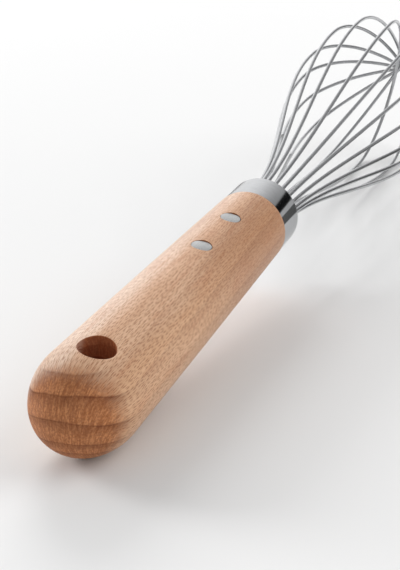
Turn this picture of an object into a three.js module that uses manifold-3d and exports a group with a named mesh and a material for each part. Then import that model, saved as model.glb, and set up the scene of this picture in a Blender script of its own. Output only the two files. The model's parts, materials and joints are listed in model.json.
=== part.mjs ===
// Balloon whisk: a turned beech handle, a steel ferrule and eight bent wire loops.
// Sizes are in millimetres. The whisk lies on a worktop with its butt towards -X, its cage towards +X and +Z up.
import * as THREE from 'three';
import { mergeVertices } from 'three/addons/utils/BufferGeometryUtils.js';
import Module from 'manifold-3d';

const wasm = await Module();
wasm.setup();

// Driving dimensions: fits
const fitGap = 0.3;              // clearance between neighbouring pieces

// Driving dimensions: wire cage
const loopCount = 8;
const wireRadius = 0.65;
const ringRadius = 6.85;         // circle that the wire centres stand on at the ferrule's mouth
const cageRadius = 29;           // wire centres from the axis, at the widest place
const cageWidestAt = 120;        // ferrule's mouth to the widest place
const cageLength = 160;          // ferrule's mouth to the outermost loop's tip
const gripLength = 19;           // wire length held on the tang's head
const neckTension = 0.34;        // how long a wire keeps its first direction, as a curve weight
const bellyTension = 0.34;       // the same where it reaches the widest place
const loopLean = [0, 0, 2.5, 1, 0, -4, -1, -2.5]; // degrees off even spacing, as hand-set wires have

// Driving dimensions: walls around the wire ends, from the inside out
const crimpWall = 0.8;
const crimpLength = 12;
const crimpSetback = 4;          // tenon's end to the crimp ring
const tenonWall = 2;
const ferruleWall = 0.6;
const ferruleLength = 12.6;
const ferruleLip = 1.5;          // how far the mouth's lip turns inwards
const plateThickness = 2.4;

// Driving dimensions: handle
const handleLength = 128;        // butt to the shoulder behind the ferrule
const buttRadius = 14.98;        // the taper carried on to the butt end, before the dome rounds it
const bellyRise = 0.1;           // how far the taper bulges half-way along
const domeLength = 18.4;
const seamStep = 0.2;            // wood standing proud of the ferrule
const seamEase = 0.5;            // rounding of the wood's edge at the ferrule
const hangHoleRadius = 5;
const hangHoleSetback = 18.9;    // butt end to the hole's centre

// Driving dimensions: pins and tang
const pinRadius = 3;
const pinRecess = 0.15;          // pin's flat end below the wood's crown
const frontPinSetback = 20.7;    // shoulder to the front pin
const pinPitch = 22.1;
const tangCheek = 1.8;           // steel left on each side of a pin's hole
const tangTail = 5;              // steel left behind the rear pin's hole

// Smoothness
const turnedSides = 40;
const holeSides = 24;
const wireSides = 6;
const wireHoleSides = 8;
const wireSteps = 52;
const domeSteps = 8;
const bodySteps = 5;
const filletSteps = 3;

// Radii from the wires outwards
const headRadius = ringRadius - wireRadius - fitGap;
const crimpInnerRadius = ringRadius + wireRadius + fitGap;
const crimpOuterRadius = crimpInnerRadius + crimpWall;
const frontBoreRadius = crimpOuterRadius + fitGap;
const tenonRadius = frontBoreRadius + tenonWall;
const ferruleInnerRadius = tenonRadius + fitGap;
const ferruleRadius = ferruleInnerRadius + ferruleWall;
const neckRadius = ferruleRadius + seamStep;
const tangRadius = pinRadius + fitGap + tangCheek;
const rearBoreRadius = tangRadius + fitGap;

// Places along the axis, from the butt end
const ferruleStart = handleLength + fitGap;
const mouth = ferruleStart + ferruleLength;
const plateFront = mouth - ferruleWall - fitGap;
const plateBack = plateFront - plateThickness;
const tenonEnd = plateBack - fitGap;
const headBack = tenonEnd - gripLength;
const frontBoreEnd = headBack - fitGap;
const frontPinAt = handleLength - frontPinSetback;
const rearPinAt = frontPinAt - pinPitch;
const tangEnd = rearPinAt - pinRadius - fitGap - tangTail;
const rearBoreEnd = tangEnd - fitGap;
const crimpFront = tenonEnd - crimpSetback;
const tipPitch = 2 * wireRadius + fitGap;

// Turns a closed geometry into a solid that can be joined and cut
function toSolid(geometry) {
  const bare = geometry.clone();
  bare.deleteAttribute('normal');
  bare.deleteAttribute('uv');
  const merged = mergeVertices(bare);
  const corners = merged.index.array;
  const kept = [];
  for (let i = 0; i < corners.length; i += 3) {
    const [a, b, c] = corners.subarray(i, i + 3);
    if (a !== b && b !== c && c !== a) {
      kept.push(a, b, c);
    }
  }
  const mesh = new wasm.Mesh({
    numProp: 3,
    vertProperties: Float32Array.from(merged.attributes.position.array),
    triVerts: Uint32Array.from(kept),
  });
  return new wasm.Manifold(mesh);
}

// Turns a solid back into a geometry
function toGeometry(solid) {
  const mesh = solid.getMesh();
  const geometry = new THREE.BufferGeometry();
  geometry.setAttribute('position', new THREE.BufferAttribute(mesh.vertProperties, mesh.numProp));
  geometry.setIndex(new THREE.BufferAttribute(mesh.triVerts, 1));
  geometry.computeVertexNormals();
  return geometry;
}

// A piece with some others cut out of it
function cut(geometry, cutters) {
  let solid = toSolid(geometry);
  for (const cutter of cutters) {
    solid = solid.subtract(toSolid(cutter));
  }
  return toGeometry(solid);
}

// A profile of [radius, place along the axis] pairs turned about the X axis
function turned(profile) {
  const points = profile.map(([radius, along]) => new THREE.Vector2(radius, along));
  const geometry = new THREE.LatheGeometry(points, turnedSides);
  geometry.rotateZ(-Math.PI / 2);
  return toGeometry(toSolid(geometry));
}

// A ring of constant section about the X axis
function turnedRing(innerRadius, outerRadius, start, end) {
  return turned([
    [innerRadius, start],
    [outerRadius, start],
    [outerRadius, end],
    [innerRadius, end],
    [innerRadius, start],
  ]);
}

// Points of a quarter-round, from one angle to another about a centre
function arc(centre, radius, startAngle, endAngle) {
  const points = [];
  for (let i = 0; i <= filletSteps; i += 1) {
    const angle = THREE.MathUtils.lerp(startAngle, endAngle, i / filletSteps);
    points.push([centre[0] + radius * Math.sin(angle), centre[1] + radius * Math.cos(angle)]);
  }
  return points;
}

// Round bar along Z, standing at a place on the axis
function crossBar(radius, halfLength, along) {
  const bar = new THREE.CylinderGeometry(radius, radius, 2 * halfLength, holeSides);
  bar.rotateX(Math.PI / 2);
  bar.translate(along, 0, 0);
  return bar;
}

// Handle

function bodyRadius(along) {
  const share = (handleLength - along) / handleLength;
  return neckRadius + (buttRadius - neckRadius) * share + 4 * bellyRise * share * (1 - share);
}

function handleProfile() {
  const profile = [[0, 0]];
  for (let i = 1; i <= domeSteps; i += 1) {
    const angle = (Math.PI / 2) * (i / domeSteps);
    const along = domeLength * (1 - Math.cos(angle));
    profile.push([bodyRadius(along) * Math.sin(angle), along]);
  }
  const bodyEnd = handleLength - seamEase;
  for (let i = 1; i < bodySteps; i += 1) {
    const along = THREE.MathUtils.lerp(domeLength, bodyEnd, i / bodySteps);
    profile.push([bodyRadius(along), along]);
  }
  profile.push(...arc([neckRadius - seamEase, bodyEnd], seamEase, Math.PI / 2, 0));
  profile.push([tenonRadius, handleLength]);
  profile.push([tenonRadius, tenonEnd]);
  profile.push([frontBoreRadius, tenonEnd]);
  profile.push([frontBoreRadius, frontBoreEnd]);
  profile.push([rearBoreRadius, frontBoreEnd]);
  profile.push([rearBoreRadius, rearBoreEnd]);
  profile.push([0, rearBoreEnd]);
  return profile;
}

function makeHandle() {
  const reach = 2 * Math.max(buttRadius, neckRadius);
  const cutters = [
    crossBar(hangHoleRadius, reach, hangHoleSetback),
    crossBar(pinRadius + fitGap, reach, frontPinAt),
    crossBar(pinRadius + fitGap, reach, rearPinAt),
  ];
  return cut(turned(handleProfile()), cutters);
}

// Ferrule, with its lip rounded over the mouth

function makeFerrule() {
  const lipCentre = [ferruleRadius - ferruleLip, mouth - ferruleLip];
  const roundedLip = arc(lipCentre, ferruleLip, Math.PI / 2, 0);
  const lipInside = ferruleLip - ferruleWall;
  const hollowLip = arc(lipCentre, lipInside, 0, Math.PI / 2);
  return turned([
    [ferruleInnerRadius, ferruleStart],
    [ferruleRadius, ferruleStart],
    ...roundedLip,
    ...hollowLip,
    [ferruleInnerRadius, ferruleStart],
  ]);
}

// Tang, crimp ring, mouth plate and pins

function makeTang() {
  const bar = turned([
    [0, tangEnd],
    [tangRadius, tangEnd],
    [tangRadius, headBack],
    [headRadius, headBack],
    [headRadius, tenonEnd],
    [0, tenonEnd],
  ]);
  const reach = 2 * tangRadius;
  return cut(bar, [
    crossBar(pinRadius + fitGap, reach, frontPinAt),
    crossBar(pinRadius + fitGap, reach, rearPinAt),
  ]);
}

function makeCrimpRing() {
  return turnedRing(crimpInnerRadius, crimpOuterRadius, crimpFront - crimpLength, crimpFront);
}

function loopAngle(index) {
  const lean = THREE.MathUtils.degToRad(loopLean[index % loopLean.length]);
  return index * (Math.PI / loopCount) + lean;
}

function makeMouthPlate() {
  const plateRadius = ferruleInnerRadius - ferruleLip;
  const disc = turned([
    [0, plateBack],
    [plateRadius, plateBack],
    [plateRadius, plateFront],
    [0, plateFront],
  ]);
  const holes = [];
  for (let index = 0; index < loopCount; index += 1) {
    for (const side of [1, -1]) {
      const holeRadius = wireRadius + fitGap;
      const hole = new THREE.CylinderGeometry(holeRadius, holeRadius, 2 * plateThickness, wireHoleSides);
      hole.rotateZ(-Math.PI / 2);
      hole.translate((plateBack + plateFront) / 2, 0, side * ringRadius);
      hole.rotateX(loopAngle(index));
      holes.push(hole);
    }
  }
  return cut(disc, holes);
}

function makePin(along) {
  return crossBar(pinRadius, bodyRadius(along) - pinRecess, along);
}

// One wire loop: out of the ferrule, over the tip and back again on the other side

function loopPath(index) {
  const tip = mouth + cageLength - (loopCount - 1 - index) * tipPitch;
  const widest = mouth + cageWidestAt;
  const quarterRound = 0.5523;
  const legs = [1, -1].map((side) => {
    const at = (along, radius) => new THREE.Vector3(along, 0, side * radius);
    const crownRun = (tip - widest) * quarterRound;
    return {
      shank: [at(headBack, ringRadius), at(mouth, ringRadius)],
      flare: [
        at(mouth, ringRadius),
        at(mouth + cageWidestAt * neckTension, ringRadius),
        at(widest - cageWidestAt * bellyTension, cageRadius),
        at(widest, cageRadius),
      ],
      crown: [
        at(widest, cageRadius),
        at(widest + crownRun, cageRadius),
        at(tip, cageRadius * quarterRound),
        at(tip, 0),
      ],
    };
  });
  const [out, back] = legs;
  const path = new THREE.CurvePath();
  path.add(new THREE.LineCurve3(...out.shank));
  path.add(new THREE.CubicBezierCurve3(...out.flare));
  path.add(new THREE.CubicBezierCurve3(...out.crown));
  path.add(new THREE.CubicBezierCurve3(...back.crown.toReversed()));
  path.add(new THREE.CubicBezierCurve3(...back.flare.toReversed()));
  path.add(new THREE.LineCurve3(...back.shank.toReversed()));
  return path;
}

function makeLoop(index) {
  const section = new THREE.Shape();
  section.absarc(0, 0, wireRadius, 0, 2 * Math.PI);
  const wire = new THREE.ExtrudeGeometry(section, {
    steps: wireSteps,
    curveSegments: wireSides / 2,
    extrudePath: loopPath(index),
  });
  wire.rotateX(loopAngle(index));
  return toGeometry(toSolid(wire));
}

// Assembly about the X axis, with the pins and the hanging hole along Z

const woodLook = { color: 0xd3a582, roughness: 0.6, metalness: 0 };
const polishedLook = { color: 0xc8c9ca, roughness: 0.15, metalness: 1 };
const steelLook = { color: 0xb4b6b8, roughness: 0.35, metalness: 1 };

function piece(name, geometry, look) {
  const mesh = new THREE.Mesh(geometry, new THREE.MeshStandardMaterial(look));
  mesh.name = name;
  return mesh;
}

const handle = piece('handle', makeHandle(), woodLook);
const loops = [];
for (let index = 0; index < loopCount; index += 1) {
  loops.push(piece(`wire_loop_${index + 1}`, makeLoop(index), steelLook));
}

const turnedParts = new THREE.Group();
turnedParts.add(
  handle,
  piece('ferrule', makeFerrule(), polishedLook),
  piece('mouth_plate', makeMouthPlate(), steelLook),
  piece('tang', makeTang(), steelLook),
  piece('crimp_ring', makeCrimpRing(), steelLook),
  piece('front_pin', makePin(frontPinAt), steelLook),
  piece('rear_pin', makePin(rearPinAt), steelLook),
  ...loops,
);

// Rest: the whisk lies on its butt and on the two lowest wires, which are legs of the last and the first loop

const lowestWire = Math.PI + loopAngle(0);
const nextWire = loopAngle(loopCount - 1);
turnedParts.rotation.x = Math.PI - (lowestWire + nextWire) / 2;
turnedParts.updateMatrixWorld(true);

function corners(mesh) {
  const position = mesh.geometry.attributes.position;
  const points = [];
  for (let i = 0; i < position.count; i += 1) {
    points.push(new THREE.Vector3().fromBufferAttribute(position, i).applyMatrix4(mesh.matrixWorld));
  }
  return points;
}

function lowest(points, tilt) {
  const heights = points.map((point) => point.x * Math.sin(tilt) + point.z * Math.cos(tilt));
  return heights.reduce((low, height) => Math.min(low, height), Infinity);
}

function findRestTilt() {
  const handleCorners = corners(handle);
  const cageCorners = loops.flatMap(corners);
  let low = -Math.PI / 4;
  let high = Math.PI / 4;
  for (let i = 0; i < 40; i += 1) {
    const middle = (low + high) / 2;
    if (lowest(cageCorners, middle) < lowest(handleCorners, middle)) {
      low = middle;
    } else {
      high = middle;
    }
  }
  return (low + high) / 2;
}

const whisk = new THREE.Group();
whisk.add(turnedParts);
whisk.rotation.y = -findRestTilt();

// Origin: middle of the whisk's box, on the worktop
const bounds = new THREE.Box3().setFromObject(whisk, true);
const middle = bounds.getCenter(new THREE.Vector3());
whisk.position.set(-middle.x, -middle.y, -bounds.min.z);

export default whisk;
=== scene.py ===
import json
import math

import bmesh
import bpy
from mathutils import Matrix, Vector


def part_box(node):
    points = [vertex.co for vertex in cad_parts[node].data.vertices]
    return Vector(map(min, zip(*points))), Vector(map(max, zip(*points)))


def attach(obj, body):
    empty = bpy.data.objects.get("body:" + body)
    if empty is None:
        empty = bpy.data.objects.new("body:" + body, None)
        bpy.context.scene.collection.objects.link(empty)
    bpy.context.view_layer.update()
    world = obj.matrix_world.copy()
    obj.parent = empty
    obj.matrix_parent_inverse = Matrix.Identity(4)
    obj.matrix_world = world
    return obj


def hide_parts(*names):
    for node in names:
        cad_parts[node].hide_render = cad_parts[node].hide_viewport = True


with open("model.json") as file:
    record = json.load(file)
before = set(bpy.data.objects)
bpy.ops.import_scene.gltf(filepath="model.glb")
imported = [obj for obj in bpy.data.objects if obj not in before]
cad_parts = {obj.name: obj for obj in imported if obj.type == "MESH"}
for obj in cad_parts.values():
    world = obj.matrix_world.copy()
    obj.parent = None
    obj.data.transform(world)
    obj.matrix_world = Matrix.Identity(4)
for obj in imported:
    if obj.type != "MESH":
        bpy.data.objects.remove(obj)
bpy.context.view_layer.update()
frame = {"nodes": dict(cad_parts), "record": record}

# Sizes in millimetres, angles in degrees; places run along the whisk's own axis from the butt end
MM = 0.001
HANDLE_LENGTH = 128.0
BUTT_RADIUS = 14.98
NECK_RADIUS = 12.0
BELLY_RISE = 0.1
DOME_LENGTH = 18.4
SEAM_EASE = 0.5
HOLE_SETBACK = 18.9
HOLE_RADIUS = 5.0
HOLE_EASE = 0.25
PIN_PLACES = {"front_pin": 107.3, "rear_pin": 85.2}
PIN_RADIUS = 3.0
PIN_RECESS = 0.3
PIN_EASE = 0.12
PIN_HOLE_GAP = 0.12
TENON_RADIUS = 10.9
TENON_END = 137.3
FRONT_BORE_RADIUS = 8.9
FRONT_BORE_END = 118.0
REAR_BORE_RADIUS = 5.4
REAR_BORE_END = 73.6
FERRULE_START = 128.02
FERRULE_RADIUS = 11.8
FERRULE_WALL = 0.6
FERRULE_LIP = 1.5
MOUTH = 140.9
LOOP_COUNT = 8
LOOP_LEAN = (0, 0, 2.5, 1, 0, -4, -1, -2.5)
WIRE_RADIUS = 0.65
WIRE_START = 118.3
RING_RADIUS = 6.85
CAGE_RADIUS = 29.0
CAGE_WIDEST_AT = 120.0
CAGE_LENGTH = 160.0
CURVE_TENSION = 0.34
TIP_PITCH = 1.6
QUARTER_ROUND = 0.5523

# How finely the pieces are drawn, the tools' half height, and how close cut corners are joined
TURNED_SIDES = 192
HOLE_SIDES = 128
SHARP_DEGREES = 35
CUTTER_HEIGHT = 25.0
WELD = 0.003

# Camera in the whisk's own axes: place in millimetres, then its right, up and back directions
CAMERA_PLACE = (-260.19, -118.12, 211.17)
CAMERA_RIGHT = (0.39211, -0.90937, 0.13892)
CAMERA_UP = (0.41692, 0.31029, 0.85434)
CAMERA_BACK = (-0.82002, -0.27707, 0.50080)
CAMERA_LENS = 92.4


# The whisk's own axes, from where the frame puts its hanging hole and front pin

def whisk_axes():
    hang = frame["record"]["mounts"][0]
    hole = Vector(hang["pos_m"])
    low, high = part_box("front_pin")
    along = ((Vector(low) + Vector(high)) / 2 - hole).normalized()
    up = Vector(hang["axis"])
    up = (up - along * up.dot(along)).normalized()
    side = up.cross(along)
    butt = hole - along * HOLE_SETBACK * MM
    axes = Matrix((along, side, up)).transposed().to_4x4()
    axes.translation = butt
    return axes


AXES = whisk_axes()


# Mesh making

def piece(name, mesh, material, nodes):
    mesh.transform(AXES)
    obj = bpy.data.objects.new(name, mesh)
    bpy.context.scene.collection.objects.link(obj)
    obj.data.materials.append(material)
    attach(obj, "root")
    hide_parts(*nodes)


def mesh_from(name, bm):
    bmesh.ops.recalc_face_normals(bm, faces=bm.faces)
    mesh = bpy.data.meshes.new(name)
    bm.to_mesh(mesh)
    bm.free()
    mesh.shade_smooth()
    mesh.set_sharp_from_angle(angle=math.radians(SHARP_DEGREES))
    return mesh


def join_rows(bm, rows):
    for row, after in zip(rows, rows[1:]):
        count = max(len(row), len(after))
        for i in range(count):
            j = (i + 1) % count
            corners = [row[i % len(row)], row[j % len(row)], after[j % len(after)], after[i % len(after)]]
            bm.faces.new(list(dict.fromkeys(corners)))


def turned(profile, closed=False):
    """A profile of (radius, along) pairs turned about the X axis."""
    bm = bmesh.new()
    rows = []
    for radius, along in profile:
        if radius < 1e-6:
            rows.append([bm.verts.new((along * MM, 0, 0))])
            continue
        row = []
        for i in range(TURNED_SIDES):
            angle = 2 * math.pi * i / TURNED_SIDES
            place = (along * MM, radius * math.sin(angle) * MM, radius * math.cos(angle) * MM)
            row.append(bm.verts.new(place))
        rows.append(row)
    if closed:
        rows.append(rows[0])
    join_rows(bm, rows)
    return bm


def arc(centre, radius, start, end, steps):
    """Points (radius, along) round a centre; 0 degrees points along the axis and 90 away from it."""
    points = []
    for i in range(steps + 1):
        angle = math.radians(start + (end - start) * i / steps)
        points.append((centre[0] + radius * math.sin(angle), centre[1] + radius * math.cos(angle)))
    return points


# Handle

def body_radius(along):
    share = (HANDLE_LENGTH - along) / HANDLE_LENGTH
    return NECK_RADIUS + (BUTT_RADIUS - NECK_RADIUS) * share + 4 * BELLY_RISE * share * (1 - share)


def surface_radius(along):
    dome = 1 - min(along, DOME_LENGTH) / DOME_LENGTH
    return body_radius(along) * math.sqrt(max(0.0, 1 - dome * dome))


def surface_height(along, across):
    return math.sqrt(max(0.0, surface_radius(along) ** 2 - across ** 2))


def handle_profile():
    dome_steps = 60
    body_steps = 40
    seam_steps = 6
    profile = [(0, 0)]
    for i in range(1, dome_steps + 1):
        along = DOME_LENGTH * (1 - math.cos(math.pi / 2 * i / dome_steps))
        profile.append((surface_radius(along), along))
    body_end = HANDLE_LENGTH - SEAM_EASE
    for i in range(1, body_steps):
        along = DOME_LENGTH + (body_end - DOME_LENGTH) * i / body_steps
        profile.append((surface_radius(along), along))
    profile += arc((NECK_RADIUS - SEAM_EASE, body_end), SEAM_EASE, 90, 0, seam_steps)
    profile += [
        (TENON_RADIUS, HANDLE_LENGTH),
        (TENON_RADIUS, TENON_END),
        (FRONT_BORE_RADIUS, TENON_END),
        (FRONT_BORE_RADIUS, FRONT_BORE_END),
        (REAR_BORE_RADIUS, FRONT_BORE_END),
        (REAR_BORE_RADIUS, REAR_BORE_END),
        (0, REAR_BORE_END),
    ]
    return profile


def hole_cutter():
    """The hanging hole's space, its two mouths rounded over where they meet the wood."""
    first_angle = 10
    steps = 8
    run_out = 1.0
    section = []
    for i in range(steps + 1):
        angle = math.radians(first_angle + (90 - first_angle) * i / steps)
        section.append((HOLE_RADIUS + HOLE_EASE * (1 - math.sin(angle)), HOLE_EASE * (1 - math.cos(angle))))
    first = math.radians(first_angle)
    rim_radius, rim_depth = section[0]
    outside = (rim_radius + run_out * math.cos(first), rim_depth - run_out * math.sin(first))
    bm = bmesh.new()
    halves = []
    for sign in (1, -1):
        rows = [[], []]
        rows += [[] for _ in section]
        for i in range(HOLE_SIDES):
            turn = 2 * math.pi * i / HOLE_SIDES
            along = HOLE_SETBACK + outside[0] * math.cos(turn)
            across = outside[0] * math.sin(turn)
            rows[0].append(bm.verts.new((along * MM, across * MM, sign * CUTTER_HEIGHT * MM)))
            height = surface_height(along, across) - outside[1]
            rows[1].append(bm.verts.new((along * MM, across * MM, sign * height * MM)))
            for row, (radius, depth) in zip(rows[2:], section):
                along = HOLE_SETBACK + radius * math.cos(turn)
                across = radius * math.sin(turn)
                height = surface_height(along, across) - depth
                row.append(bm.verts.new((along * MM, across * MM, sign * height * MM)))
        halves.append(rows)
    rows = halves[0] + halves[1][::-1]
    join_rows(bm, rows)
    bm.faces.new(rows[0])
    bm.faces.new(rows[-1])
    return mesh_from("hole_cutter", bm)


def bar(along, radius, half_length, ease=0.0):
    """A round bar across the handle, along the pins' direction, with its ends eased."""
    ease_steps = 4
    bm = bmesh.new()
    profile = [(radius, half_length - ease)]
    if ease:
        profile += arc((radius - ease, half_length - ease), ease, 90, 0, ease_steps)[1:]
    ends = profile[::-1] + [(r, -h) for r, h in profile]
    rows = []
    for ring, height in ends:
        row = []
        for i in range(HOLE_SIDES):
            turn = 2 * math.pi * i / HOLE_SIDES
            place = (along + ring * math.cos(turn), ring * math.sin(turn), height)
            row.append(bm.verts.new(Vector(place) * MM))
        rows.append(row)
    join_rows(bm, rows)
    bm.faces.new(rows[0])
    bm.faces.new(rows[-1])
    return mesh_from("bar", bm)


def cut(mesh, cutters):
    """The mesh with the cutters taken out of it."""
    body = bpy.data.objects.new("cut_body", mesh)
    bpy.context.scene.collection.objects.link(body)
    spare = [body]
    for cutter in cutters:
        tool = bpy.data.objects.new("cut_tool", cutter)
        bpy.context.scene.collection.objects.link(tool)
        spare.append(tool)
        modifier = body.modifiers.new("cut", "BOOLEAN")
        modifier.operation = "DIFFERENCE"
        modifier.solver = "EXACT"
        modifier.object = tool
    graph = bpy.context.evaluated_depsgraph_get()
    bm = bmesh.new()
    bm.from_object(body, graph)
    bmesh.ops.remove_doubles(bm, verts=bm.verts, dist=WELD * MM)
    for obj in spare:
        bpy.data.objects.remove(obj)
    return mesh_from(mesh.name, bm)


def make_handle(material):
    blank = mesh_from("handle_wood", turned(handle_profile()))
    cutters = [hole_cutter()]
    for along in PIN_PLACES.values():
        cutters.append(bar(along, PIN_RADIUS + PIN_HOLE_GAP, CUTTER_HEIGHT))
    piece("handle_wood", cut(blank, cutters), material, ["handle"])


# Ferrule and pins

def make_ferrule(material):
    lip_steps = 10
    inner = FERRULE_RADIUS - FERRULE_WALL
    centre = (FERRULE_RADIUS - FERRULE_LIP, MOUTH - FERRULE_LIP)
    profile = [(inner, FERRULE_START), (FERRULE_RADIUS, FERRULE_START)]
    profile += arc(centre, FERRULE_LIP, 90, 0, lip_steps)
    profile += arc(centre, FERRULE_LIP - FERRULE_WALL, 0, 90, lip_steps)
    mesh = mesh_from("ferrule_shell", turned(profile, closed=True))
    piece("ferrule_shell", mesh, material, ["ferrule"])


def make_pin(node, along, material):
    mesh = bar(along, PIN_RADIUS, body_radius(along) - PIN_RECESS, PIN_EASE)
    piece(node + "_bar", mesh, material, [node])


# Wire loops, each one curve from the ferrule over the tip and back

def loop_points(index):
    """Bezier points of one loop in its own plane: place, then the two handles, as (along, radius)."""
    tip = MOUTH + CAGE_LENGTH - (LOOP_COUNT - 1 - index) * TIP_PITCH
    widest = MOUTH + CAGE_WIDEST_AT
    run = CAGE_WIDEST_AT * CURVE_TENSION
    crown = (tip - widest) * QUARTER_ROUND
    third = (MOUTH - WIRE_START) / 3
    out = [
        ((WIRE_START, RING_RADIUS), (WIRE_START - third, RING_RADIUS), (WIRE_START + third, RING_RADIUS)),
        ((MOUTH, RING_RADIUS), (MOUTH - third, RING_RADIUS), (MOUTH + run, RING_RADIUS)),
        ((widest, CAGE_RADIUS), (widest - run, CAGE_RADIUS), (widest + crown, CAGE_RADIUS)),
    ]
    top = ((tip, 0), (tip, CAGE_RADIUS * QUARTER_ROUND), (tip, -CAGE_RADIUS * QUARTER_ROUND))
    back = []
    for place, before, after in out[::-1]:
        back.append(tuple((along, -radius) for along, radius in (place, after, before)))
    return out + [top] + back


def make_loop(index, material):
    name = f"wire_loop_{index + 1}_drawn"
    curve = bpy.data.curves.new(name, "CURVE")
    curve.dimensions = "3D"
    curve.bevel_depth = WIRE_RADIUS * MM
    curve.bevel_resolution = 5
    curve.resolution_u = 28
    curve.use_fill_caps = True
    angle = math.pi / LOOP_COUNT * index + math.radians(LOOP_LEAN[index])
    turn = Matrix.Rotation(angle, 3, "X")
    points = loop_points(index)
    spline = curve.splines.new("BEZIER")
    spline.bezier_points.add(len(points) - 1)
    for target, places in zip(spline.bezier_points, points):
        spots = [turn @ Vector((along, 0, radius)) * MM for along, radius in places]
        target.handle_left_type = "FREE"
        target.handle_right_type = "FREE"
        target.co, target.handle_left, target.handle_right = spots
    piece(name, curve, material, [f"wire_loop_{index + 1}"])


# Materials

def add(tree, kind, inputs=None, **settings):
    """One shader node, its inputs linked to sockets or set to values."""
    made = tree.nodes.new(kind)
    for name, value in settings.items():
        setattr(made, name, value)
    for name, value in (inputs or {}).items():
        if isinstance(value, bpy.types.NodeSocket):
            tree.links.new(value, made.inputs[name])
        else:
            made.inputs[name].default_value = value
    return made


def calc(tree, operation, first, second=0.0):
    return add(tree, "ShaderNodeMath", {0: first, 1: second}, operation=operation).outputs[0]


def ease(tree, value, low, high, to_low=0.0, to_high=1.0):
    inputs = {"Value": value, "From Min": low, "From Max": high, "To Min": to_low, "To Max": to_high}
    return add(tree, "ShaderNodeMapRange", inputs, interpolation_type="SMOOTHSTEP").outputs["Result"]


def stretch(tree, place, sizes):
    """Coordinates in which a grain of these sizes, in millimetres, is one unit long."""
    scale = tuple(1 / size for size in sizes)
    inputs = {0: place, 1: scale}
    return add(tree, "ShaderNodeVectorMath", inputs, operation="MULTIPLY").outputs[0]


def own_place(tree, output="Object", kind="POINT"):
    """The shaded point, or its normal, in the whisk's own axes; the point is in millimetres."""
    back = AXES.inverted()
    inputs = {"Vector": add(tree, "ShaderNodeTexCoord").outputs[output], "Rotation": back.to_euler()}
    if kind == "POINT":
        inputs["Location"] = back.translation / MM
        inputs["Scale"] = (1 / MM, 1 / MM, 1 / MM)
    return add(tree, "ShaderNodeMapping", inputs, vector_type=kind).outputs[0]


def noise(tree, place, detail=2.0, roughness=0.5):
    inputs = {"Vector": place, "Scale": 1.0, "Detail": detail, "Roughness": roughness}
    return add(tree, "ShaderNodeTexNoise", inputs).outputs["Fac"]


def dashes(tree, place, spacing, half_size):
    """Soft dashes of one size, one to each patch of the given spacing; 1 in the middle of a dash."""
    inputs = {"Vector": stretch(tree, place, spacing + (1.0,)), "Scale": 1.0, "Randomness": 0.75}
    patches = add(tree, "ShaderNodeTexVoronoi", inputs, feature="F1", voronoi_dimensions="2D")
    inputs = {0: patches.outputs["Position"], 1: spacing + (1.0,)}
    middle = add(tree, "ShaderNodeVectorMath", inputs, operation="MULTIPLY").outputs[0]
    offset = add(tree, "ShaderNodeVectorMath", {0: place, 1: middle}, operation="SUBTRACT").outputs[0]
    inputs = {0: stretch(tree, offset, half_size + (1.0,))}
    reach = add(tree, "ShaderNodeVectorMath", inputs, operation="LENGTH")
    return ease(tree, reach.outputs["Value"], 0.3, 1.0, 1.0, 0.0)


def blend(tree, share, first, second):
    """Two colours mixed; the numbers are the node's own places for its share and its two colours."""
    made = add(tree, "ShaderNodeMix", data_type="RGBA")
    for index, value in ((0, share), (6, first), (7, second)):
        if isinstance(value, bpy.types.NodeSocket):
            tree.links.new(value, made.inputs[index])
        else:
            made.inputs[index].default_value = value
    return made.outputs[2]


def colour(red, green, blue):
    """A colour given as display values from 0 to 255."""
    def linear(value):
        value /= 255
        return value / 12.92 if value <= 0.04045 else ((value + 0.055) / 1.055) ** 2.4
    return (linear(red), linear(green), linear(blue), 1.0)


def grey(value):
    return (value, value, value, 1.0)


def new_material(name):
    material = bpy.data.materials.new(name)
    material.use_nodes = True
    tree = material.node_tree
    return material, tree, tree.nodes["Principled BSDF"]


# Growth rings on the butt: radius about the pith, width of the dark late wood, and how dark it is.
# Each ring ends in a thin dark line with a soft outer edge; RING_BODY is its share of dark before that line.
PITH = (-6.0, -24.0)
RINGS = (
    (13.4, 2.6, 0.6),
    (17.6, 2.4, 0.6),
    (21.6, 2.6, 0.66),
    (27.4, 3.0, 0.7),
    (33.0, 3.0, 0.8),
    (36.6, 3.2, 0.55),
    (40.0, 2.0, 0.4),
)
RING_RANGE = (5.0, 45.0)
RING_EDGE = 0.2
RING_LINE = 0.35
RING_BODY = 0.65

# Radius at which turns about the pith and about the axis count as lengths, how far the rings wander,
# and the grain's lean
RAY_SPREAD = 30.0
TURN_SPREAD = 13.5
RING_WANDER = 2.4
GRAIN_SLOPE = 0.07

# Share of each kind of mark in the wood's colour, and where the hanging hole's wall gives way to its rim
RIGHT_NECK_DARKENING_SHARE = 0.75
FINE_RAY_SHARE = 0.42
RAY_SHARE = 0.62
END_GRAIN_SHARE = 0.9
BORE_EDGE = (0.03, 0.18)


def ring_shade(tree, distance):
    """Late wood: it darkens outwards and stops sharply at each ring's edge."""
    low, high = RING_RANGE
    share = calc(tree, "DIVIDE", calc(tree, "SUBTRACT", distance, low), high - low)
    ramp = add(tree, "ShaderNodeValToRGB", {"Fac": share})
    stops = ramp.color_ramp.elements
    stops.remove(stops[0])
    stops[0].position = 0.0
    stops[0].color = (0, 0, 0, 1)
    for radius, width, depth in RINGS:
        body = (radius - RING_LINE, depth * RING_BODY)
        band = [(radius - width, 0.0), body, (radius, depth), (radius + RING_EDGE, 0.0)]
        for place, value in band:
            stop = stops.new((place - low) / (high - low))
            stop.color = (value, value, value, 1)
    return ramp.outputs["Color"]


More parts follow.
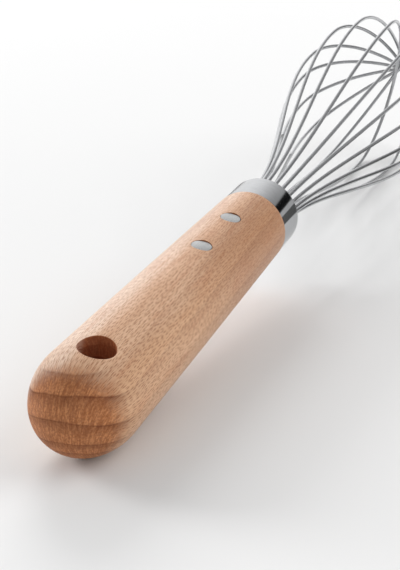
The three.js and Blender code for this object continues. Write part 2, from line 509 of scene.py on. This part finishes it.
def beech():
    material, tree, shader = new_material("beech")
    place = own_place(tree)
    along, side, up = add(tree, "ShaderNodeSeparateXYZ", {0: place}).outputs
    across = calc(tree, "SUBTRACT", side, PITH[0])
    height = calc(tree, "SUBTRACT", up, PITH[1])

    # Distance from the pith, wandering a little along the grain, and the way round it
    wander = noise(tree, stretch(tree, place, (70, 14, 14)))
    across_square = calc(tree, "MULTIPLY", across, across)
    height_square = calc(tree, "MULTIPLY", height, height)
    straight = calc(tree, "SQRT", calc(tree, "ADD", across_square, height_square))
    swing = calc(tree, "MULTIPLY", calc(tree, "SUBTRACT", wander, 0.5), RING_WANDER)
    distance = calc(tree, "ADD", straight, swing)
    around = calc(tree, "MULTIPLY", calc(tree, "ARCTAN2", across, height), RAY_SPREAD)
    radial = add(tree, "ShaderNodeCombineXYZ", {0: along, 1: around, 2: distance}).outputs[0]

    # How far the surface faces along the grain, as the butt does; the grain runs a little aslant
    normal = add(tree, "ShaderNodeSeparateXYZ", {0: own_place(tree, "Normal", "NORMAL")})
    aslant = calc(tree, "MULTIPLY", normal.outputs[1], GRAIN_SLOPE)
    facing = calc(tree, "ABSOLUTE", calc(tree, "ADD", normal.outputs[0], aslant))
    end_grain = ease(tree, facing, 0.24, 0.63)

    # Rays: short dark dashes along the grain, in two sizes, fainter towards the ferrule
    turn = calc(tree, "MULTIPLY", calc(tree, "ARCTAN2", side, up), TURN_SPREAD)
    unrolled = add(tree, "ShaderNodeCombineXYZ", {0: along, 1: turn}).outputs[0]
    rays = dashes(tree, unrolled, (2.6, 0.62), (1.1, 0.145))
    fine_rays = dashes(tree, unrolled, (2.2, 0.5), (0.95, 0.125))
    clear = ease(tree, along, 70, 115, 1.0, 0.85)

    # Fibres, broad changes of tone, and the marks of the end grain
    fibres = noise(tree, stretch(tree, unrolled, (16, 0.5, 1)), 2.0, 0.6)
    lines = noise(tree, stretch(tree, unrolled, (9, 0.38, 1)), 1.0, 0.5)
    tone = noise(tree, stretch(tree, place, (50, 8, 10)), 2.0)
    blush = noise(tree, stretch(tree, place, (20, 2.6, 4)), 3.0)
    hatch = noise(tree, stretch(tree, radial, (6.0, 0.45, 2.6)), 2.0, 0.6)
    speckle = noise(tree, stretch(tree, place, (0.6, 0.55, 0.55)), 1.0)

    # Long grain: paler on the left from painted sheen, lighter low on the right from painted floor bounce,
    # darker and finely lined towards the ferrule
    long_grain = blend(tree, ease(tree, tone, 0.35, 0.68), colour(221, 183, 152), colour(210, 168, 135))
    # Darker from the middle to the right of the long grain, growing towards the ferrule
    right_neck_darkening = calc(tree, "MULTIPLY", ease(tree, along, 60, 112), ease(tree, side, 6, -8))
    right_neck_darkening_share = calc(tree, "MULTIPLY", right_neck_darkening, RIGHT_NECK_DARKENING_SHARE)
    long_grain = blend(tree, right_neck_darkening_share, long_grain, colour(184, 139, 105))
    # Painted sheen: the left side of the long grain is made paler and less saturated, as where light grazes
    # it
    pale = ease(tree, side, 0, 7, 0.0, 1.0)
    long_grain = blend(tree, pale, long_grain, colour(225, 201, 181))
    # Painted bounce light: the low right side towards the butt is made lighter and warmer, as if lit from
    # the floor
    painted_floor_bounce = calc(tree, "MULTIPLY", ease(tree, side, -6, -12), ease(tree, along, 55, 95, 0.3, 0.0))
    long_grain = blend(tree, painted_floor_bounce, long_grain, colour(231, 188, 146))
    long_grain = blend(tree, ease(tree, blush, 0.5, 0.75, 0.0, 0.3), long_grain, colour(197, 136, 100))
    long_grain = blend(tree, ease(tree, fibres, 0.35, 0.7, 0.0, 0.45), long_grain, colour(186, 134, 97))
    line_share = calc(tree, "MULTIPLY", ease(tree, lines, 0.45, 0.7), ease(tree, along, 50, 105, 0.0, 0.46))
    long_grain = blend(tree, line_share, long_grain, colour(168, 113, 76))
    fine_share = calc(tree, "MULTIPLY", fine_rays, calc(tree, "MULTIPLY", clear, FINE_RAY_SHARE))
    long_grain = blend(tree, fine_share, long_grain, colour(150, 92, 58))
    ray_share = calc(tree, "MULTIPLY", rays, calc(tree, "MULTIPLY", clear, RAY_SHARE))
    long_grain = blend(tree, ray_share, long_grain, colour(138, 80, 48))

    # End grain on the butt and in the hanging hole, with its growth rings
    end_face = blend(tree, ease(tree, hatch, 0.34, 0.66), colour(202, 134, 84), colour(164, 97, 52))
    end_face = blend(tree, ease(tree, speckle, 0.4, 0.64, 0.0, 0.5), end_face, colour(128, 68, 32))
    patches = ease(tree, noise(tree, stretch(tree, place, (30, 4, 3)), 2.0), 0.3, 0.65, 0.7, 1.0)
    rings = calc(tree, "MULTIPLY", ring_shade(tree, distance), patches)
    shown = ease(tree, facing, 0.2, 0.46, 0.26, 1.0)
    base = blend(tree, calc(tree, "MULTIPLY", end_grain, END_GRAIN_SHARE), long_grain, end_face)
    base = blend(tree, calc(tree, "MULTIPLY", rings, shown), base, colour(94, 40, 17))

    # The hanging hole's wall, cut across the grain: a darker, redder colour that is partly the drilled
    # wood's own and partly painted shade of the recess
    from_hole = calc(tree, "SUBTRACT", along, HOLE_SETBACK)
    spread = add(tree, "ShaderNodeCombineXYZ", {0: from_hole, 1: side}).outputs[0]
    reach = add(tree, "ShaderNodeVectorMath", {0: spread}, operation="LENGTH").outputs["Value"]
    bore_tint_and_shade = ease(tree, reach, HOLE_RADIUS + BORE_EDGE[0], HOLE_RADIUS + BORE_EDGE[1], 0.5, 0.0)
    base = blend(tree, bore_tint_and_shade, base, colour(152, 74, 46))
    tree.links.new(base, shader.inputs["Base Color"])

    # Satin oil, duller on the end grain and in the rays, which lie a little below the surface
    satin = ease(tree, end_grain, 0.0, 1.0, 0.38, 0.62)
    rough = calc(tree, "ADD", calc(tree, "MULTIPLY", rays, 0.12), satin)
    tree.links.new(rough, shader.inputs["Roughness"])
    shader.inputs["Specular IOR Level"].default_value = 0.25
    fine_relief = calc(tree, "MULTIPLY", fine_rays, -0.4)
    relief = calc(tree, "ADD", calc(tree, "MULTIPLY", rays, -0.7), fine_relief)
    bump = add(tree, "ShaderNodeBump", {"Height": relief, "Strength": 0.15, "Distance": 0.0002})
    tree.links.new(bump.outputs[0], shader.inputs["Normal"])
    return material


def steel(name, tint, edge, roughness, spread, grain):
    """Bright steel: its colours face on and at the edge, and faint marks of the given grain sizes."""
    material, tree, shader = new_material(name)
    place = own_place(tree)
    marks = noise(tree, stretch(tree, place, grain), 3.0, 0.6)
    cloud = noise(tree, stretch(tree, place, (9, 6, 6)), 2.0)
    mix = calc(tree, "ADD", calc(tree, "MULTIPLY", marks, 0.6), calc(tree, "MULTIPLY", cloud, 0.4))
    rough = ease(tree, mix, 0.3, 0.7, roughness - spread, roughness + spread)
    tree.links.new(rough, shader.inputs["Roughness"])
    dark = tuple(channel * 0.88 for channel in tint[:3]) + (1.0,)
    tree.links.new(blend(tree, ease(tree, mix, 0.3, 0.7), tint, dark), shader.inputs["Base Color"])
    shader.inputs["Metallic"].default_value = 1.0
    shader.inputs["Specular Tint"].default_value = edge
    bump = add(tree, "ShaderNodeBump", {"Height": marks, "Strength": 0.04, "Distance": 0.0001})
    tree.links.new(bump.outputs[0], shader.inputs["Normal"])
    return material


def table_top():
    material, tree, shader = new_material("table_top")
    coordinates = add(tree, "ShaderNodeTexCoord")
    cloud = noise(tree, stretch(tree, coordinates.outputs["Object"], (0.5, 0.5, 0.5)), 2.0)
    base = blend(tree, cloud, colour(226, 226, 226), colour(230, 230, 230))
    tree.links.new(base, shader.inputs["Base Color"])
    shader.inputs["Roughness"].default_value = 0.8
    shader.inputs["Specular IOR Level"].default_value = 0.0
    return material


# Pieces

wood = beech()
ferrule_steel = steel(
    "ferrule_steel", colour(198, 199, 201), edge=grey(0.74), roughness=0.1, spread=0.02, grain=(0.3, 4, 4)
)
bar_steel = steel(
    "bar_steel", colour(190, 191, 191), edge=grey(1.0), roughness=0.3, spread=0.05, grain=(1.5, 0.4, 3)
)
wire_steel = steel(
    "wire_steel", colour(190, 191, 193), edge=grey(1.0), roughness=0.24, spread=0.04, grain=(8, 0.3, 0.3)
)

make_handle(wood)
make_ferrule(ferrule_steel)
for node, along in PIN_PLACES.items():
    make_pin(node, along, bar_steel)
for index in range(LOOP_COUNT):
    make_loop(index, wire_steel)

# Solids shown as they are

for node in ("mouth_plate", "tang", "crimp_ring"):
    solid = frame["nodes"][node]
    solid.data.materials.clear()
    solid.data.materials.append(bar_steel)


# Stage

def make_floor():
    half = 4.0
    mesh = bpy.data.meshes.new("floor")
    corners = [(-half, -half, 0), (half, -half, 0), (half, half, 0), (-half, half, 0)]
    mesh.from_pydata(corners, [], [(0, 1, 2, 3)])
    floor = bpy.data.objects.new("floor", mesh)
    bpy.context.scene.collection.objects.link(floor)
    mesh.materials.append(table_top())


# Direction of the broad fill on the camera's right
FILL_WAY = (-0.212, -0.791, 0.574)


def make_world():
    """A pale studio: bright on the left and dimmer elsewhere, with a dark gap low down on the far right."""
    world = bpy.data.worlds.new("studio")
    bpy.context.scene.world = world
    world.use_nodes = True
    tree = world.node_tree
    direction = add(tree, "ShaderNodeTexCoord").outputs["Generated"]
    forward, leftward, upward = add(tree, "ShaderNodeSeparateXYZ", {0: direction}).outputs

    # Bright on the left and dim on the right
    left = ease(tree, leftward, -0.5, 0.55)
    room = blend(tree, left, grey(0.36), grey(1.42))

    # On the right ahead, a paler strip along the horizon and the dark gap above it
    right = ease(tree, leftward, -0.3, -0.15, 1.0, 0.0)
    ahead = ease(tree, forward, 0.3, 0.5)
    horizon = calc(tree, "MULTIPLY", ease(tree, upward, 0.11, 0.14, 1.0, 0.0), right)
    room = blend(tree, calc(tree, "MULTIPLY", horizon, ahead), room, grey(0.58))
    band_low = ease(tree, upward, 0.12, 0.15)
    band_high = ease(tree, upward, 0.325, 0.36, 1.0, 0.0)
    band = calc(tree, "MULTIPLY", band_low, band_high)
    gap = calc(tree, "MULTIPLY", band, calc(tree, "MULTIPLY", right, ahead))
    room = blend(tree, gap, room, grey(0.01))

    # Behind the camera, the fill on its right, and overhead
    behind = ease(tree, forward, -0.3, 0.3, 1.0, 0.0)
    room = blend(tree, behind, room, grey(0.5))
    inputs = {0: direction, 1: FILL_WAY}
    toward = add(tree, "ShaderNodeVectorMath", inputs, operation="DOT_PRODUCT").outputs["Value"]
    room = blend(tree, ease(tree, toward, 0.5, 0.95), room, grey(0.7))
    above = ease(tree, upward, 0.55, 0.85)
    room = blend(tree, above, room, grey(0.43))

    background = tree.nodes["Background"]
    tree.links.new(room, background.inputs["Color"])
    background.inputs["Strength"].default_value = 1.0


def make_light(name, azimuth, elevation, distance, radius, power):
    """A soft globe of light that the steel does not mirror; azimuth turns from +X towards +Y."""
    target = Vector((-0.05, 0, 0.02))
    turn, rise = math.radians(azimuth), math.radians(elevation)
    away = Vector((math.cos(turn) * math.cos(rise), math.sin(turn) * math.cos(rise), math.sin(rise)))
    data = bpy.data.lights.new(name, "POINT")
    data.shadow_soft_size = radius
    data.energy = power
    light = bpy.data.objects.new(name, data)
    bpy.context.scene.collection.objects.link(light)
    light.location = target + away * distance
    light.visible_glossy = False


def make_camera():
    data = bpy.data.cameras.new("camera")
    data.lens = CAMERA_LENS
    data.clip_start = 0.01
    camera = bpy.data.objects.new("camera", data)
    bpy.context.scene.collection.objects.link(camera)
    view = Matrix((CAMERA_RIGHT, CAMERA_UP, CAMERA_BACK)).transposed().to_4x4()
    view.translation = Vector(CAMERA_PLACE) * MM
    camera.matrix_world = AXES @ view
    bpy.context.scene.camera = camera


def make_card(name, azimuth, distance, half_width, high, shade):
    """A low card just above the floor, hidden from the camera, there only for the steel to mirror."""
    low = 0.002
    shade_spread = 0.03
    ferrule_place = Vector((-0.015, -0.01, 0))
    turn = math.radians(azimuth)
    ahead = Vector((math.cos(turn), math.sin(turn), 0))
    across = Vector((-ahead.y, ahead.x, 0))
    middle = ferrule_place + ahead * distance
    corners = []
    for side, height in ((-1, low), (1, low), (1, high), (-1, high)):
        corners.append(middle + across * half_width * side + Vector((0, 0, height)))
    mesh = bpy.data.meshes.new(name)
    mesh.from_pydata(corners, [], [(0, 1, 2, 3)])
    material, tree, shader = new_material(name)
    place = add(tree, "ShaderNodeTexCoord").outputs["Object"]
    cloud = noise(tree, stretch(tree, place, (0.05, 0.05, 0.05)))
    base = blend(tree, cloud, grey(shade - shade_spread), grey(shade + shade_spread))
    tree.links.new(base, shader.inputs["Base Color"])
    shader.inputs["Roughness"].default_value = 0.9
    mesh.materials.append(material)
    card = bpy.data.objects.new(name, mesh)
    bpy.context.scene.collection.objects.link(card)
    card.visible_camera = False
    card.visible_diffuse = False
    card.visible_shadow = False


make_floor()
make_card("right_card", azimuth=-27, distance=0.095, half_width=0.025, high=0.026, shade=0.16)
make_card("left_card", azimuth=38, distance=0.085, half_width=0.03, high=0.025, shade=0.85)
make_card("back_strip", azimuth=90, distance=0.5, half_width=0.42, high=0.2, shade=0.12)
make_card("front_strip", azimuth=-90, distance=0.5, half_width=0.42, high=0.2, shade=0.12)
make_world()
make_light("back", azimuth=30, elevation=25, distance=4.8, radius=1.0, power=458.0)
make_light("left", azimuth=84, elevation=20.5, distance=2.6, radius=0.5, power=147.0)
make_light("right", azimuth=-60, elevation=36, distance=2.4, radius=1.05, power=98.0)
make_camera()
bpy.context.scene.view_settings.view_transform = "Standard"
